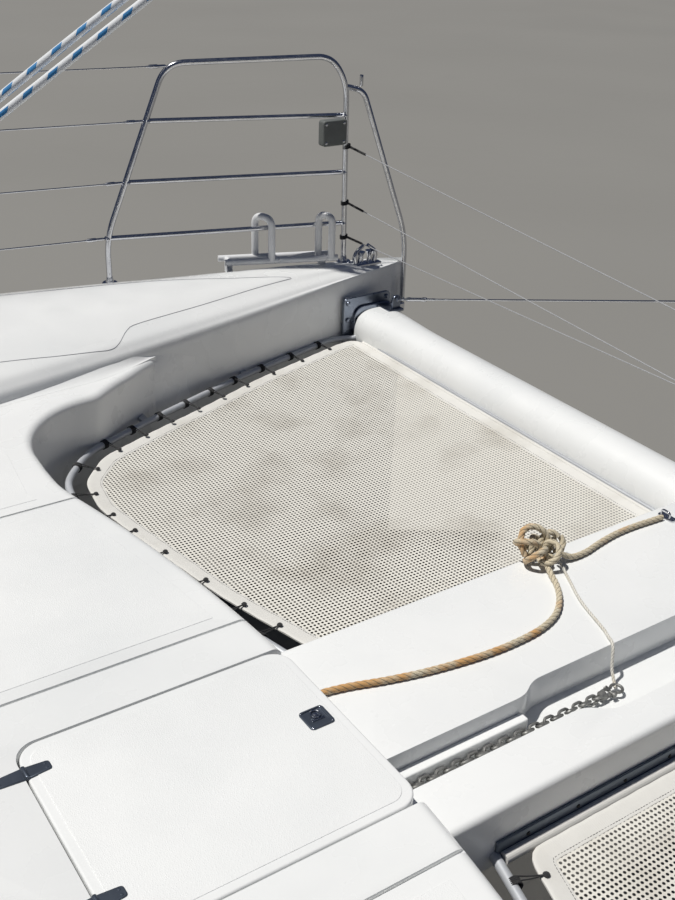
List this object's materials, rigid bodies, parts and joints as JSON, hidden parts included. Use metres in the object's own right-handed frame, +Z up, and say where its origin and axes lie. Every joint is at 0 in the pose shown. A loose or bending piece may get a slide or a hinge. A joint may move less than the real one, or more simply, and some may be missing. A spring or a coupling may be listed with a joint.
{
  "type": "sailing catamaran",
  "caption": "Cruising sailing catamaran, afloat: twin hulls joined by a bridge deck with cabin and cockpit, bow nets beside a walkway beam, mast, boom and furled sails.",
  "frame": {"origin": "on the waterline at the middle of the boat, half way between the hulls", "axes": "+X forward, +Y to port, +Z up"},
  "size_m": [11.763, 6.52, 18.77],
  "materials": {
    "gelcoat": "smooth white gelcoat over laminate",
    "steel": "polished stainless tube, wire and fittings",
    "alloy": "anodised aluminium spars",
    "white_tube": "white coated tube",
    "glass": "tinted acrylic",
    "net": "off-white knotless mesh with hemmed edge",
    "rope": "weathered three-strand rope",
    "line": "white three-strand line",
    "canvas": "pale grey sailcloth and canvas",
    "vinyl": "pale grey cockpit upholstery",
    "galvanised": "dull galvanised steel",
    "bronze": "bronze casting",
    "engine": "grey painted casting"
  },
  "bodies": {
    "root": {"anchor": "galvanised", "anchor_chain": "galvanised", "beam_bracket_port": "steel", "beam_bracket_starboard": "steel", "bow_ladder": "white_tube", "bow_roller": "steel", "bridge_deck": "gelcoat", "cabin": "gelcoat", "cap_shroud_port": "steel", "cap_shroud_starboard": "steel", "cockpit_table": "gelcoat", "cross_beam": "gelcoat", "cushion_aft": "vinyl", "cushion_port": "vinyl", "engine_port": "engine", "engine_starboard": "engine", "furled_headsail": "canvas", "hard_top": "gelcoat", "helm_console": "gelcoat", "helm_seat": "vinyl", "hull_port": "gelcoat", "hull_starboard": "gelcoat", "lacing_rail_port": "white_tube", "lacing_rail_starboard": "white_tube", "mast": "alloy", "net_port": "net", "net_starboard": "net", "pad_eye": "steel", "pulpit_port": "steel", "pulpit_starboard": "steel", "rope_knot": "rope", "saildrive_port": "engine", "saildrive_starboard": "engine", "saloon_furniture": "vinyl", "saloon_windows": "glass", "side_rail_port": "steel", "side_rail_starboard": "steel", "snubber_line": "line", "striker": "steel", "tow_rope": "rope", "tow_rope_fore": "rope", "walkway_beam": "gelcoat", "windlass": "alloy"},
    "anchor_lid": {"anchor_lid": "gelcoat"},
    "boom": {"boom": "alloy", "sail_bag": "canvas"},
    "helm_wheel": {"helm_wheel": "steel"},
    "rudder_port": {"rudder_port": "gelcoat"},
    "rudder_starboard": {"rudder_starboard": "gelcoat"},
    "propeller_port": {"propeller_port": "bronze"},
    "propeller_starboard": {"propeller_starboard": "bronze"},
    "engine_lid_port": {"engine_lid_port": "gelcoat"},
    "engine_lid_starboard": {"engine_lid_starboard": "gelcoat"},
    "hatch_lid_port": {"hatch_lid_port": "glass"},
    "hatch_lid_starboard": {"hatch_lid_starboard": "glass"},
    "sliding_door": {"sliding_door": "glass"}
  },
  "joints": [
    {"name": "boom_swing", "type": "hinge", "parent": "root", "child": "boom", "pos_m": [1, 0, 3.95], "axis": [0, 0, 1], "range_deg": [-60, 60]},
    {"name": "rudder_port_turn", "type": "hinge", "parent": "root", "child": "rudder_port", "pos_m": [-5.06, 2.46, -0.25], "axis": [0, 0, 1], "range_deg": [-35, 35]},
    {"name": "rudder_starboard_turn", "type": "hinge", "parent": "root", "child": "rudder_starboard", "pos_m": [-5.06, -2.46, -0.25], "axis": [0, 0, 1], "range_deg": [-35, 35]},
    {"name": "wheel_turn", "type": "hinge", "parent": "root", "child": "helm_wheel", "pos_m": [-2.239, -1.15, 2.05], "axis": [1, 0, 0], "range_deg": [-315, 315]},
    {"name": "propeller_port_spin", "type": "hinge", "parent": "root", "child": "propeller_port", "pos_m": [-4.13, 2.46, -0.64], "axis": [1, 0, 0], "continuous": true},
    {"name": "propeller_starboard_spin", "type": "hinge", "parent": "root", "child": "propeller_starboard", "pos_m": [-4.13, -2.46, -0.64], "axis": [1, 0, 0], "continuous": true},
    {"name": "anchor_lid_open", "type": "hinge", "parent": "root", "child": "anchor_lid", "pos_m": [3.2845, 0, 1.469], "axis": [0, -1, 0], "range_deg": [0, 95]},
    {"name": "engine_lid_port_open", "type": "hinge", "parent": "root", "child": "engine_lid_port", "pos_m": [-3.718, 2.46, 1.592], "axis": [0, 1, 0], "range_deg": [0, 85]},
    {"name": "hatch_lid_port_open", "type": "hinge", "parent": "root", "child": "hatch_lid_port", "pos_m": [2.872, 2.46, 1.655], "axis": [0, 1, 0], "range_deg": [0, 90]},
    {"name": "engine_lid_starboard_open", "type": "hinge", "parent": "root", "child": "engine_lid_starboard", "pos_m": [-3.718, -2.46, 1.592], "axis": [0, 1, 0], "range_deg": [0, 85]},
    {"name": "hatch_lid_starboard_open", "type": "hinge", "parent": "root", "child": "hatch_lid_starboard", "pos_m": [2.872, -2.46, 1.655], "axis": [0, 1, 0], "range_deg": [0, 90]},
    {"name": "door_slide", "type": "slide", "parent": "root", "child": "sliding_door", "axis": [0, -1, 0], "range_m": [0, 0.9]}
  ],
  "couplings": [
    {"joint": "rudder_starboard_turn", "follows": "rudder_port_turn", "ratio": 1},
    {"joint": "wheel_turn", "follows": "rudder_port_turn", "ratio": -9}
  ]
}
